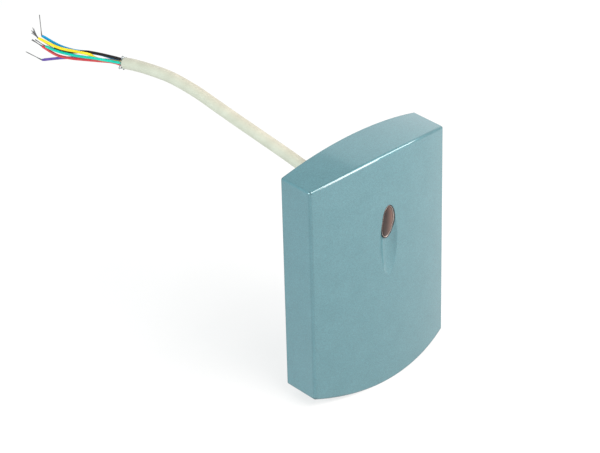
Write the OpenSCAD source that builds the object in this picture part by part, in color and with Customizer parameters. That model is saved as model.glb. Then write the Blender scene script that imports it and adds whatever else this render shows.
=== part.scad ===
// Wall-mounted proximity card reader: painted swing cover on a base plate,
// with a read coil, circuit board, tamper plunger and a pigtail cable.
// Frame: millimetres, X to the right seen from the front, Y into the wall, Z up.
// The origin is the centre of the base's wall face, so the wall is the plane Y = 0.

/* [Body] */
// Width across the straight sides
body_w = 80; // [76:1:84]
// Height over the crowns of the two arched ends
body_h = 118; // [116:1:122]
// How much each arched end rises above its corners
end_rise = 5.6; // [4.8:0.2:6.4]
// Depth from the wall to the middle of the bowed front
body_d = 24.4; // [24.2:0.1:25]
// How far the side edges of the front lie behind its middle
front_bow = 6.4; // [5.6:0.2:6.6]
// Thickness of the cover's walls
wall = 2.2; // [2:0.1:2.4]

/* [Front window] */
// Length of the finger scoop in the front
scoop_l = 35.6; // [33:0.2:37]
// Width of the finger scoop
scoop_w = 10.4; // [9.6:0.2:11]
// Depth of the finger scoop
scoop_d = 2.2; // [1.8:0.1:2.4]
// Height of the scoop's centre
scoop_z = 15.4; // [14:0.2:16]
// Length of the oval window
window_l = 17.4; // [16:0.2:18]
// Width of the oval window
window_w = 8; // [7:0.2:8.4]

/* [Base] */
// Thickness of the base plate
plate_t = 2.5; // [2.2:0.1:2.6]
// Gap all round between the base's arched ends and the cover
end_gap = 1.2; // [1.1:0.1:1.4]
// Gap between the base's sides and the cover
side_gap = 0.4; // [0.3:0.1:0.6]
// Distance between the two wall screws
screw_pitch = 60.3; // [58:0.1:62]
// Radius of the wall screw holes
screw_hole_r = 2.1; // [1.8:0.1:2.4]

/* [Cable] */
// Outer diameter of the cable's jacket
cable_od = 5.5; // [5.3:0.1:5.5]
// Outer diameter of each insulated conductor
wire_od = 1.3; // [1.1:0.1:1.3]

/* [Motion] */
// Height of the cover's hinge axis
hinge_z = 53; // [52.8:0.1:53.2]
// Distance of the hinge axis from the wall
hinge_y = 5.5; // [5.4:0.1:5.7]
// Travel of the tamper plunger
tamper_travel = 1.3; // [1:0.1:1.3]

/* [Hidden] */
$fn = 48;

eps = 0.01;
// Arched ends: radius and centre height of the circle through crown and corners
end_r = (pow(body_w / 2, 2) + pow(end_rise, 2)) / (2 * end_rise);
end_cz = body_h / 2 - end_r;
// Bowed front: radius and centre of a cylinder with an upright axis
front_r = (pow(body_w / 2, 2) + pow(front_bow, 2)) / (2 * front_bow);
front_cy = front_r - body_d;
cover_rim_y = -0.15;
// Above this height the rim slopes back, so that the cover clears the wall as it swings
relief_z = 53.2;
relief_angle = 12.6;

// Scoop: a spindle whose cross-section is a circle, standing in front of the face
scoop_r = (pow(scoop_w / 2, 2) + pow(scoop_d, 2)) / (2 * scoop_d);
scoop_arc_r = (pow(scoop_l / 2, 2) + pow(scoop_d, 2)) / (2 * scoop_d);
scoop_axis_y = -body_d - (scoop_r - scoop_d);
// Window: its top end meets the top end of the scoop
window_z = scoop_z + scoop_l / 2 - window_l / 2;
window_gap = 0.05;
lens_tilt = 6.6;
lens_cross_r = 16;
lens_arc_r = 60;
lens_apex_y = -24.15;
pad_y = -20.2;
pad_r = 7.2;
pad_half_l = 20;

// Hinge: two trunnion bars on the base, two hooks on the cover
hinge_x = 17;
bar_r = 1.2;
bar_l = 6;
cheek_t = 1.4;
hook_w = 5;
hook_r = 2.3;
hook_bore_r = 1.25;

// Lock screw at the bottom of the base
lock_y = -7;
lock_base_z = -55.6;
lock_head_z = -58;
lock_travel = 4;
insert_z0 = -54.6;
insert_z1 = -49.6;
ring_z = -45.2;
ring_t = 0.8;

// Circuit board
pcb_w = 52;
pcb_z0 = -37;
pcb_z1 = 31;
pcb_back = -8.5;
pcb_front = -10.1;
pcb_screw_x = 19.2;
pcb_screw_z = [-29, 23];

// Tamper plunger behind the board
tamper_x = -14;
tamper_z = 2;

// Cable exit in the base
exit_x = -13;
exit_z = 40.5;
cable_r = cable_od / 2;
wire_r = wire_od / 2;
grommet_bore_r = cable_r;
JACKET_ROUTE = [
    [-13, -11.5, 40.5], [-13, -4, 40.5], [-13, 4, 40.5], [-13, 14, 41.25],
    [-12.5, 26, 42.5], [-12, 38, 43.5], [-11.5, 50, 44.5], [-11, 62, 45.5],
    [-10.5, 75, 46.75], [-9.75, 88, 47.75], [-9.5, 99, 48.25], [-9.5, 109, 48.25],
    [-9.75, 118, 47.5], [-10.25, 127, 46.5], [-10.75, 135, 45.25], [-11, 141.5, 43.75]
];
BLACK_ROUTE = [
    [-10.75, 142, 45.25], [-12.25, 148, 45], [-13.75, 155.5, 44.25], [-15.5, 163, 43.25],
    [-17.5, 169, 41.5], [-19.25, 175, 40.25], [-21, 181, 40.25]
];
YELLOW_ROUTE = [
    [-11, 141.5, 44], [-12, 147.5, 42.75], [-14, 152.5, 42.25], [-15.25, 156.25, 42.25],
    [-16.5, 159.25, 43.5], [-18.25, 163, 43.75], [-19, 167, 43.25], [-21.5, 177, 42.5],
    [-24.5, 188, 44.5]
];
BLUE_ROUTE = [
    [-9.5, 141.75, 44.75], [-10.75, 149.75, 43.25], [-12, 157, 42.75], [-14.5, 165, 42],
    [-16.75, 172, 41.25], [-18.75, 180, 41.5], [-21.5, 189, 44.25]
];
GREEN_ROUTE = [
    [-12.5, 141.5, 44.25], [-14.75, 148.5, 43.75], [-17.25, 155.75, 43.25],
    [-18.5, 164, 41.5], [-20.25, 172, 40.5], [-21.75, 178.5, 40.25], [-23.25, 184.5, 41]
];
RED_ROUTE = [
    [-10.5, 141.25, 42.25], [-11.25, 149.25, 41.25], [-14, 156.5, 40.25], [-16.5, 164, 39],
    [-18.5, 172, 37.5], [-20.5, 180, 37], [-22.75, 188, 39.5]
];
VIOLET_ROUTE = [
    [-9.5, 141.5, 43.25], [-9.75, 150.75, 41], [-12.25, 157.25, 40], [-14.25, 164, 38.75],
    [-16.25, 171, 37.25], [-18.5, 179, 35], [-21.5, 190.5, 30.75]
];
// Bare ends: where each stripped end starts and stops
TIPS = [
    [[-24.5, 188, 44.5], [-25.5, 191.5, 48]],
    [[-21.5, 189, 44.25], [-21.75, 189.5, 56]],
    [[-22.75, 188, 39.5], [-24.25, 194, 41.5]],
    [[-21.5, 190.5, 30.75], [-24, 200, 32.5]],
    [[-23.25, 184.5, 41], [-24.5, 191, 42.75]],
    [[-21, 181, 40.25], [-22.25, 188, 42]]
];
tip_r = 0.25;

function unit(v) = v / norm(v);
function tangent(p, i) =
    i == 0 ? unit(p[1] - p[0])
    : i == len(p) - 1 ? unit(p[i] - p[i - 1])
    : unit(unit(p[i + 1] - p[i]) + unit(p[i] - p[i - 1]));
function ring(centre, t, ref, r, sides) =
    let (u = unit(cross(t, ref)), w = cross(u, t))
    [for (k = [0 : sides - 1]) centre + r * (cos(360 * k / sides) * u + sin(360 * k / sides) * w)];

// A closed tube of radius r along the points of route; ref is never parallel to it
module tube(route, r, sides, ref) {
    n = len(route);
    points = [for (i = [0 : n - 1]) each ring(route[i], tangent(route, i), ref, r, sides)];
    start = [[for (k = [sides - 1 : -1 : 0]) k]];
    stop = [[for (k = [0 : sides - 1]) (n - 1) * sides + k]];
    skin = [for (i = [0 : n - 2], k = [0 : sides - 1]) let (m = (k + 1) % sides)
        [i * sides + k, i * sides + m, (i + 1) * sides + m, (i + 1) * sides + k]];
    polyhedron(points = points, faces = concat(start, skin, stop), convexity = 6);
}

// Cylinder along Y from the wall side y1 to the front side y0
module rod_y(x, z, r, y0, y1) {
    translate([x, y1, z]) rotate([90, 0, 0]) cylinder(r = r, h = y1 - y0);
}

// Block between two corners
module block(x0, x1, y0, y1, z0, z1) {
    translate([x0, y0, z0]) cube([x1 - x0, y1 - y0, z1 - z0]);
}

// Block with rounded upright-to-wall edges, centred on X and Z
module round_block(x, z, w, h, r, y0, y1) {
    block(x - w / 2, x + w / 2, y0, y1, z - h / 2 + r, z + h / 2 - r);
    block(x - w / 2 + r, x + w / 2 - r, y0, y1, z - h / 2, z + h / 2);
    for (sx = [-1, 1], sz = [-1, 1])
        rod_y(x + sx * (w / 2 - r), z + sz * (h / 2 - r), r, y0, y1);
}

// Oval prism along Y
module oval(z, l, w, y0, y1) {
    translate([0, y1, z]) rotate([90, 0, 0])
        linear_extrude(height = y1 - y0)
            polygon([for (a = [0 : 7.5 : 352.5]) [w / 2 * cos(a), l / 2 * sin(a)]]);
}

// Round spindle on Z: cross-section radius r, its side an arc of radius arc
module spindle(r, arc) {
    rotate_extrude(angle = 360)
        intersection() {
            translate([r - arc, 0]) circle(r = arc, $fn = 96);
            translate([0, -30]) square([2 * r, 60]);
        }
}

// The reader's outline, drawn in by side_in and end_in, between two planes of constant Y
module outline_block(side_in, end_in, y0, y1) {
    intersection() {
        block(-body_w / 2 + side_in, body_w / 2 - side_in, y0, y1, -body_h / 2, body_h / 2);
        rod_y(0, end_cz, end_r - end_in, y0 - 1, y1 + 1);
        rod_y(0, -end_cz, end_r - end_in, y0 - 1, y1 + 1);
    }
}

module cover_block(inset, y1) {
    intersection() {
        outline_block(inset, inset, -body_d, y1);
        translate([0, front_cy, -body_h / 2]) cylinder(r = front_r - inset, h = body_h);
    }
}

module scoop_cut() {
    translate([0, scoop_axis_y, scoop_z]) spindle(scoop_r, scoop_arc_r);
}

// Stiffening pad behind the scoop, which the window's flange is bonded to
module window_pad() {
    block(-pad_r, pad_r, -body_d + wall - 0.8, pad_y,
          scoop_z - pad_half_l + pad_r, scoop_z + pad_half_l - pad_r);
    for (s = [-1, 1])
        rod_y(0, scoop_z + s * (pad_half_l - pad_r), pad_r, -body_d + wall - 0.8, pad_y);
}

// Snap hook that turns on one of the base's bars
module hinge_hook(x) {
    difference() {
        union() {
            translate([x - hook_w / 2, -hinge_y, hinge_z]) rotate([0, 90, 0])
                cylinder(r = hook_r, h = hook_w);
            block(x - hook_w / 2, x + hook_w / 2, -hinge_y - hook_r, -hinge_y + hook_r,
                  hinge_z, hinge_z + 3.6);
        }
        translate([x - hook_w, -hinge_y, hinge_z]) rotate([0, 90, 0])
            cylinder(r = hook_bore_r, h = 2 * hook_w);
        block(x - hook_w, x + hook_w, -hinge_y - 1.1, -hinge_y + 1.1, hinge_z - 4, hinge_z);
    }
}

// Slot and counterbore for the lock screw, open towards the wall
module lock_slot(half_w, z0, z1) {
    translate([0, lock_y, z0]) cylinder(r = half_w, h = z1 - z0);
    block(-half_w, half_w, lock_y, 1, z0, z1);
}

module front_cover() {
    color([0.50, 0.66, 0.69])
    difference() {
        union() {
            difference() {
                cover_block(0, cover_rim_y);
                cover_block(wall, 1);
            }
            window_pad();
            for (s = [-1, 1]) hinge_hook(s * hinge_x);
        }
        scoop_cut();
        oval(window_z, window_l, window_w, -body_d - 1, pad_y + 1);
        translate([-body_w, cover_rim_y, relief_z]) rotate([relief_angle, 0, 0])
            cube([2 * body_w, 10, 20]);
        lock_slot(1.7, -body_h / 2 - 1, -body_h / 2 + wall + 1);
        lock_slot(3.2, -body_h / 2 - 1, lock_head_z + 0.2);
    }
}

module indicator_lens() {
    color([0.24, 0.16, 0.15])
    union() {
        intersection() {
            oval(window_z, window_l - 2 * window_gap, window_w - 2 * window_gap, -body_d - 1, pad_y + 0.4);
            translate([0, lens_apex_y + lens_cross_r, window_z]) rotate([lens_tilt, 0, 0])
                spindle(lens_cross_r, lens_arc_r);
        }
        oval(window_z, window_l + 3.4, window_w + 3.4, pad_y, pad_y + 1.2);
    }
}

module pcb_boss(x, z) {
    rod_y(x, z, 2.6, pcb_back, -plate_t + eps);
}

module lock_boss() {
    translate([0, lock_y, lock_base_z]) cylinder(r = 4.2, h = 13.1);
    block(-4.2, 4.2, lock_y, -plate_t + eps, lock_base_z, lock_base_z + 13.1);
    translate([0, lock_y, lock_base_z - 1]) cylinder(r = 2.6, h = 1.1);
}

module hinge_bar(x) {
    translate([x - bar_l / 2 - eps, -hinge_y, hinge_z]) rotate([0, 90, 0])
        cylinder(r = bar_r, h = bar_l + 2 * eps);
    for (s = [-1, 1])
        translate([x + s * (bar_l + cheek_t) / 2 - cheek_t / 2, -hinge_y - 1.5, hinge_z - 2.6])
            cube([cheek_t, hinge_y + 1.5 - plate_t + eps, 2.6 + bar_r]);
}

module base_plate() {
    color([0.16, 0.17, 0.18])
    difference() {
        union() {
            outline_block(wall + side_gap, wall + end_gap, -plate_t, 0);
            difference() {
                outline_block(wall + side_gap, wall + end_gap, -9, -plate_t + eps);
                outline_block(wall + side_gap + 1.6, wall + end_gap + 1.6, -10, 1);
                for (s = [-1, 1])
                    block(s * hinge_x - 5.4, s * hinge_x + 5.4, -10, -plate_t, 45, body_h / 2);
            }
            for (s = [-1, 1], z = pcb_screw_z) pcb_boss(s * pcb_screw_x, z);
            for (s = [-1, 1]) hinge_bar(s * hinge_x);
            lock_boss();
        }
        for (s = [-1, 1]) rod_y(s * screw_pitch / 2, 0, screw_hole_r, -plate_t - 1, 1);
        for (s = [-1, 1], z = pcb_screw_z) rod_y(s * pcb_screw_x, z, 1.15, pcb_back - 1, -3.5);
        rod_y(exit_x, exit_z, 4.5, -plate_t - 1, 1);
        rod_y(exit_x, exit_z, 6, -1, 1);
        rod_y(tamper_x, tamper_z, 1.58, -plate_t - 1, 1);
        translate([0, lock_y, lock_base_z - 2]) cylinder(r = 1.7, h = 10);
        translate([0, lock_y, insert_z0]) cylinder(r = 2.1, h = insert_z1 - insert_z0);
        translate([0, lock_y, insert_z1]) cylinder(r = 3, h = 10);
    }
}

module light_pipe() {
    color([0.86, 0.9, 0.92, 0.7]) {
        y0 = -18.6;
        y1 = -13.2;
        block(-2.4, 2.4, y0, y1, window_z - 3, window_z + 3);
        for (s = [-1, 1]) rod_y(0, window_z + s * 3, 2.4, y0, y1);
        block(-4.2, 4.2, y1 - 1.2, y1, window_z - 3.2, window_z - 1.6);
        for (s = [-1, 1]) rod_y(s * 3.4, window_z - 2.4, 0.6, y1 - 1, pcb_front);
    }
}

module main_pcb() {
    color([0.1, 0.32, 0.2])
    difference() {
        block(-pcb_w / 2, pcb_w / 2, pcb_front, pcb_back, pcb_z0, pcb_z1);
        for (s = [-1, 1], z = pcb_screw_z) rod_y(s * pcb_screw_x, z, 1.3, pcb_front - 1, pcb_back + 1);
    }
}

module antenna_coil() {
    color([0.72, 0.36, 0.16])
    difference() {
        round_block(0, -3, 50, 66, 6, pcb_front - 2.4, pcb_front);
        round_block(0, -3, 44, 60, 3, pcb_front - 3, pcb_front + 1);
    }
}

module coil_leads() {
    color([0.72, 0.36, 0.16])
    for (s = [-1, 1]) {
        translate([s * 1.5, pcb_front - 0.4, -33]) cylinder(r = 0.2, h = 2.4);
        rod_y(s * 1.5, -30.6, 0.8, pcb_front - 0.6, pcb_front);
    }
}

// Chip package centred on x, z with leads along its two upright sides
module leaded_chip(x, z, w, l, h, leads, pitch) {
    block(x - w / 2, x + w / 2, pcb_front - h, pcb_front - 0.15, z - l / 2, z + l / 2);
    for (s = [-1, 1], i = [0 : leads - 1])
        translate([x + s * (w / 2 + 0.45), pcb_front - 0.25, z + (i - (leads - 1) / 2) * pitch])
            cube([1.1, 0.5, pitch * 0.4], center = true);
}

module microcontroller() {
    color([0.09, 0.09, 0.1]) {
        leaded_chip(8, 1, 7, 7, 1.4, 8, 0.8);
        for (s = [-1, 1], i = [0 : 7])
            translate([8 + (i - 3.5) * 0.8, pcb_front - 0.25, 1 + s * 3.95])
                cube([0.32, 0.5, 1.1], center = true);
    }
}

module reader_chip() {
    color([0.1, 0.1, 0.11]) leaded_chip(8, -12.5, 7.5, 10.2, 2.3, 8, 1.27);
}

module line_driver() {
    color([0.1, 0.1, 0.11]) leaded_chip(-10, -12, 3.9, 4.9, 1.6, 4, 1.27);
}

module voltage_regulator() {
    color([0.12, 0.12, 0.13]) {
        block(-16.75, -10.25, pcb_front - 1.7, pcb_front - 0.1, 3.2, 6.8);
        block(-15, -12, pcb_front - 0.3, pcb_front, 6.7, 8.4);
        for (i = [-1 : 1]) block(-13.9 + i * 2.3, -13.1 + i * 2.3, pcb_front - 0.3, pcb_front, 1.6, 3.3);
    }
}

module crystal() {
    color([0.75, 0.76, 0.77]) {
        block(4.85, 11.15, pcb_front - 3.4, pcb_front, 8.7, 13.3);
        for (x = [4.85, 11.15]) rod_y(x, 11, 2.3, pcb_front - 3.4, pcb_front);
    }
}

module electrolytic_capacitors() {
    color([0.68, 0.69, 0.71])
    for (p = [[-15.5, -20], [-7, -22]]) {
        rod_y(p[0], p[1], 3.15, pcb_front - 5.4, pcb_front - 0.6);
        round_block(p[0], p[1], 6.6, 6.6, 0.8, pcb_front - 0.7, pcb_front);
    }
}

module power_inductor() {
    color([0.2, 0.2, 0.21])
    difference() {
        round_block(-4, -4, 6, 6, 1.2, pcb_front - 2.8, pcb_front);
        rod_y(-4, -4, 1.6, pcb_front - 3, pcb_front - 2.4);
    }
}

module protection_diodes() {
    color([0.13, 0.13, 0.14])
    for (x = [-16.4, -10.6]) {
        block(x - 2.15, x + 2.15, pcb_front - 2.2, pcb_front - 0.1, 9.6, 12.1);
        for (s = [-1, 1]) block(x + s * 2.3 - 0.3, x + s * 2.3 + 0.3, pcb_front - 0.9, pcb_front, 10.2, 11.5);
    }
}

module chip_capacitors() {
    color([0.7, 0.58, 0.42]) {
        for (i = [0 : 4]) block(15, 16.6, pcb_front - 0.8, pcb_front, -6.4 + 2.6 * i, -5.6 + 2.6 * i);
        for (i = [0 : 2]) block(-0.8, 0.8, pcb_front - 0.8, pcb_front, 1.6 + 2.6 * i, 2.4 + 2.6 * i);
    }
}

module chip_resistors() {
    color([0.15, 0.15, 0.16]) {
        for (i = [0 : 5]) block(-18.3, -16.7, pcb_front - 0.5, pcb_front, -2.4 - 2.2 * i, -1.6 - 2.2 * i);
        for (i = [0 : 3]) block(-1.8, -0.2, pcb_front - 0.5, pcb_front, -10.4 - 2.2 * i, -9.6 - 2.2 * i);
    }
}

module tuning_capacitor() {
    color([0.72, 0.2, 0.12]) block(16.2, 18.8, pcb_front - 6.5, pcb_front, 10.4, 17.6);
}

module buzzer() {
    color([0.07, 0.07, 0.08])
    difference() {
        rod_y(11.5, -25, 6, pcb_front - 6, pcb_front);
        rod_y(11.5, -25, 0.8, pcb_front - 7, pcb_front - 4.5);
    }
}

module status_leds() {
    color([0.9, 0.88, 0.75])
    for (s = [-1, 1]) block(s * 1.8 - 0.8, s * 1.8 + 0.8, pcb_front - 1.1, pcb_front, 23.1, 26.3);
}

module wire_header() {
    color([0.9, 0.88, 0.8]) block(-16.6, -4.6, pcb_front - 4.5, pcb_front, 14, 19);
}

module wire_plug() {
    color([0.93, 0.92, 0.86])
    difference() {
        block(-16.4, -4.8, pcb_front - 4.9, pcb_front - 0.5, 19, 25.8);
        for (i = [0 : 5]) block(-16 + 2 * i, -15.2 + 2 * i, pcb_front - 5.1, pcb_front - 4.5, 20.5, 24);
    }
}

// Conductors from the plug, over the coil and into the cable's end. The upper
// three slots of the cable take the conductors that bend further out.
module inner_wires() {
    slots = [210, 150, 270, 90, 330, 30];
    color([0.8, 0.75, 0.3])
    for (i = [0 : 5]) {
        x = -15.6 + 2 * i;
        upper = sin(slots[i]) > 0;
        end = [exit_x + 1.35 * cos(slots[i]), -11.5, exit_z + 1.35 * sin(slots[i])];
        tube([[x, -13.4, 25.8],
              [0.45 * x + 0.55 * end[0], upper ? -15.4 : -13.9, 31.5],
              [end[0] + 0.1 * (x - end[0]), upper ? -17 : -14.6, end[2] - 1.3],
              end],
             wire_r, 8, [1, 0, 0]);
    }
}

module tamper_switch() {
    color([0.14, 0.14, 0.15]) {
        block(tamper_x - 1.5, tamper_x + 1.5, pcb_back, pcb_back + 2, tamper_z - 1.5, tamper_z + 1.5);
        rod_y(tamper_x, tamper_z, 0.75, pcb_back + 1.9, pcb_back + 2.6);
    }
}

module tamper_plunger() {
    color([0.85, 0.84, 0.8]) {
        rod_y(tamper_x, tamper_z, 1.5, -2.6, tamper_travel);
        rod_y(tamper_x, tamper_z, 3, -3.3, -plate_t - 0.05);
        rod_y(tamper_x, tamper_z, 0.9, -4.5, -3.2);
    }
}

module tamper_spring() {
    turns = 3.5;
    steps = 14;
    y0 = pcb_back + 0.24;
    y1 = -3.54;
    color([0.75, 0.76, 0.78])
    tube([for (i = [0 : turns * steps])
            [tamper_x + 2.58 * cos(360 * i / steps),
             y0 + (y1 - y0) * i / (turns * steps),
             tamper_z + 2.58 * sin(360 * i / steps)]],
         0.2, 6, [0, 1, 0]);
}

module pcb_screws() {
    color([0.78, 0.78, 0.76])
    for (s = [-1, 1], z = pcb_screw_z)
        difference() {
            union() {
                rod_y(s * pcb_screw_x, z, 2.1, pcb_front - 1.4, pcb_front);
                rod_y(s * pcb_screw_x, z, 1.1, pcb_front - 0.1, -4);
            }
            block(s * pcb_screw_x - 1.4, s * pcb_screw_x + 1.4, pcb_front - 2, pcb_front - 0.8, z - 0.25, z + 0.25);
            block(s * pcb_screw_x - 0.25, s * pcb_screw_x + 0.25, pcb_front - 2, pcb_front - 0.8, z - 1.4, z + 1.4);
        }
}

module threaded_insert() {
    color([0.8, 0.62, 0.28])
    translate([0, lock_y, insert_z0])
        difference() {
            cylinder(r = 2.1, h = insert_z1 - insert_z0);
            translate([0, 0, -1]) cylinder(r = 1.55, h = 8);
        }
}

module cover_screw() {
    color([0.72, 0.72, 0.74])
    translate([0, lock_y, 0])
        difference() {
            union() {
                translate([0, 0, lock_head_z - 0.9]) cylinder(r = 2.8, h = 0.9);
                translate([0, 0, lock_head_z - eps]) cylinder(r = 1.5, h = ring_z - 0.05 - lock_head_z + eps);
                translate([0, 0, ring_z - 0.1]) cylinder(r = 1.1, h = ring_t + 0.2);
                translate([0, 0, ring_z + ring_t + 0.05]) cylinder(r = 1.5, h = 0.7);
            }
            translate([-1.8, -0.3, lock_head_z - 1]) cube([3.6, 0.6, 0.6]);
            translate([-0.3, -1.8, lock_head_z - 1]) cube([0.6, 3.6, 0.6]);
        }
}

module screw_retaining_ring() {
    color([0.92, 0.92, 0.9])
    translate([0, lock_y, ring_z])
        difference() {
            cylinder(r = 2.6, h = ring_t);
            translate([0, 0, -1]) cylinder(r = 1.15, h = 3);
        }
}

module cable_grommet() {
    color([0.1, 0.1, 0.1])
    difference() {
        union() {
            rod_y(exit_x, exit_z, 5.9, -0.95, -0.05);
            rod_y(exit_x, exit_z, 4.45, -plate_t - 0.5, -0.5);
            rod_y(exit_x, exit_z, 5.9, -3.7, -plate_t - 0.05);
        }
        rod_y(exit_x, exit_z, grommet_bore_r, -5, 1);
    }
}

module cable_tie() {
    color([0.9, 0.9, 0.88])
    difference() {
        union() {
            rod_y(exit_x, exit_z, cable_r + 1.1, -7.4, -5);
            block(exit_x - 2.3, exit_x + 2.3, -8.2, -4.4, exit_z + cable_r + 0.4, exit_z + cable_r + 3.6);
        }
        rod_y(exit_x, exit_z, cable_r, -9, -4);
    }
}

module cable_jacket() {
    color([0.78, 0.76, 0.7]) tube(JACKET_ROUTE, cable_r, 12, [1, 0, 0]);
}

// Screen: a short foil collar round the conductors at the jacket's cut end
module cable_shield() {
    end = JACKET_ROUTE[len(JACKET_ROUTE) - 1];
    run = tangent(JACKET_ROUTE, len(JACKET_ROUTE) - 1);
    color([0.8, 0.81, 0.82])
    translate(end) rotate([0, acos(run[2]), atan2(run[1], run[0])])
        difference() {
            cylinder(r = 2.65, h = 0.8);
            translate([0, 0, -1]) cylinder(r = 2.5, h = 3);
        }
}

module wire_black() { color([0.08, 0.08, 0.08]) tube(BLACK_ROUTE, wire_r, 8, [1, 0, 0]); }
module wire_yellow() { color([0.95, 0.85, 0.1]) tube(YELLOW_ROUTE, wire_r, 8, [1, 0, 0]); }
module wire_blue() { color([0.1, 0.5, 0.75]) tube(BLUE_ROUTE, wire_r, 8, [1, 0, 0]); }
module wire_green() { color([0.05, 0.65, 0.5]) tube(GREEN_ROUTE, wire_r, 8, [1, 0, 0]); }
module wire_red() { color([0.85, 0.2, 0.22]) tube(RED_ROUTE, wire_r, 8, [1, 0, 0]); }
module wire_violet() { color([0.45, 0.35, 0.75]) tube(VIOLET_ROUTE, wire_r, 8, [1, 0, 0]); }

module wire_tips() {
    color([0.78, 0.78, 0.78])
    for (tip = TIPS) {
        run = tip[1] - tip[0];
        yaw = atan2(run[1], run[0]);
        pitch = acos(run[2] / norm(run));
        translate(tip[0]) rotate([0, pitch, yaw]) cylinder(r = tip_r, h = norm(run), $fn = 16);
    }
}

front_cover();
indicator_lens();
base_plate();
light_pipe();
main_pcb();
antenna_coil();
coil_leads();
microcontroller();
reader_chip();
line_driver();
voltage_regulator();
crystal();
electrolytic_capacitors();
power_inductor();
protection_diodes();
chip_capacitors();
chip_resistors();
tuning_capacitor();
buzzer();
status_leds();
wire_header();
wire_plug();
inner_wires();
tamper_switch();
tamper_plunger();
tamper_spring();
pcb_screws();
threaded_insert();
cover_screw();
screw_retaining_ring();
cable_grommet();
cable_tie();
cable_jacket();
cable_shield();
wire_black();
wire_yellow();
wire_blue();
wire_green();
wire_red();
wire_violet();
wire_tips();
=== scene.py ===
"""Looks of a wall-mounted proximity card reader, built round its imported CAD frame.

Shapes are written in millimetres and turned into metres when a mesh is made.
X runs to the right seen from the front, Y into the wall and Z up; the wall is Y = 0.
"""

import math
import random

import bmesh
import bpy
import numpy as np
from mathutils import Euler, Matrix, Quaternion, Vector


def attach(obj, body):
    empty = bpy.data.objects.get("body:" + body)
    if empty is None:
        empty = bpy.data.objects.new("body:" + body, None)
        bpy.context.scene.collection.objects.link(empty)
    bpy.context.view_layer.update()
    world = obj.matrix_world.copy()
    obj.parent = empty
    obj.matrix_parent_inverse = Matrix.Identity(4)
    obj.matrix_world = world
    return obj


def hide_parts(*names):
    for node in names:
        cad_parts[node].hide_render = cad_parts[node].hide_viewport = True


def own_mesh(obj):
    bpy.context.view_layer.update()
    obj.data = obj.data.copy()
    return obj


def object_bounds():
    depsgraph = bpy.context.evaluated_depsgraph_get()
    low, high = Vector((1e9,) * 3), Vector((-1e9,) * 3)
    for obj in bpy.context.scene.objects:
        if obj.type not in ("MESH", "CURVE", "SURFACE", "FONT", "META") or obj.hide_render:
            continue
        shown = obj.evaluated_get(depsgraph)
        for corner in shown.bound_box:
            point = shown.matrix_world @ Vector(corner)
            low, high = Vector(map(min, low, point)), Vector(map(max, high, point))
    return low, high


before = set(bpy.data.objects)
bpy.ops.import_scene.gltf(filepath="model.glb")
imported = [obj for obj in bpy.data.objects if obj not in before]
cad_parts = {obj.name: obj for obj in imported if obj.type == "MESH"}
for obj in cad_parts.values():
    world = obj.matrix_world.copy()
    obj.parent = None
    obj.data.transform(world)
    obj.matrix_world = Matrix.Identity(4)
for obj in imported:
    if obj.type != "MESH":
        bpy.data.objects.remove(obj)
cad_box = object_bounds()
MM = 0.001
# Faces that meet at more than this angle, in degrees, keep a sharp edge between them
SHARP_ANGLE = 35


# ---------------------------------------------------------------- mesh helpers

def mesh_object(name, points, faces):
    """A smooth-shaded mesh object from points in millimetres."""
    mesh = bpy.data.meshes.new(name)
    mesh.from_pydata([tuple(MM * c for c in p) for p in points], [], faces)
    work = bmesh.new()
    work.from_mesh(mesh)
    bmesh.ops.remove_doubles(work, verts=work.verts, dist=1e-7)
    bmesh.ops.dissolve_degenerate(work, edges=work.edges, dist=1e-8)
    bmesh.ops.recalc_face_normals(work, faces=work.faces)
    work.to_mesh(mesh)
    work.free()
    obj = bpy.data.objects.new(name, mesh)
    bpy.context.scene.collection.objects.link(obj)
    smooth(obj)
    return obj


def smooth(obj):
    """Smooth shading, with sharp edges where faces meet at more than SHARP_ANGLE."""
    obj.data.shade_smooth()
    obj.data.set_sharp_from_angle(angle=math.radians(SHARP_ANGLE))


def loops_mesh(name, loops, closed):
    """Quads between rings of equal length; closed also joins the last ring to the first."""
    count = len(loops[0])
    points = [p for loop in loops for p in loop]
    faces = []
    for k in range(len(loops) if closed else len(loops) - 1):
        here = k * count
        there = (k + 1) % len(loops) * count
        for i in range(count):
            j = (i + 1) % count
            faces.append((here + i, here + j, there + j, there + i))
    if not closed:
        faces.append(tuple(range(count)))
        faces.append(tuple(range((len(loops) - 1) * count, len(loops) * count))[::-1])
    return mesh_object(name, points, faces)


def finished(obj, body, node, material):
    """Gives a piece its material and body, and lets it stand for its CAD node."""
    obj.data.materials.clear()
    obj.data.materials.append(material)
    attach(obj, body)
    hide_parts(node)
    return obj


def smooth_line(points, per_span):
    """Points on a smooth curve through the given ones."""
    p = np.array(points, float)
    p = np.vstack([2 * p[0] - p[1], p, 2 * p[-1] - p[-2]])
    line = []
    for i in range(1, len(p) - 2):
        for s in np.arange(per_span) / per_span:
            line.append(0.5 * (
                2 * p[i] + (p[i + 1] - p[i - 1]) * s
                + (2 * p[i - 1] - 5 * p[i] + 4 * p[i + 1] - p[i + 2]) * s ** 2
                + (3 * p[i] - p[i - 1] - 3 * p[i + 1] + p[i + 2]) * s ** 3))
    line.append(p[-2])
    return np.array(line)


def ring_frames(line):
    """Two directions square to the line at each point, turning as little as they can."""
    ahead = np.gradient(line, axis=0)
    ahead /= np.linalg.norm(ahead, axis=1)[:, None]
    side = np.cross(ahead[0], (0.3, 0.1, 1.0))
    frames = []
    for t in ahead:
        side = side - t * side.dot(t)
        side /= np.linalg.norm(side)
        frames.append((t, side, np.cross(t, side)))
    return frames


def ring(centre, radius, u, v, sides):
    """Points round a circle in the plane of the directions u and v."""
    turn = [2 * math.pi * k / sides for k in range(sides)]
    return [centre + radius * (math.cos(a) * u + math.sin(a) * v) for a in turn]


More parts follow.
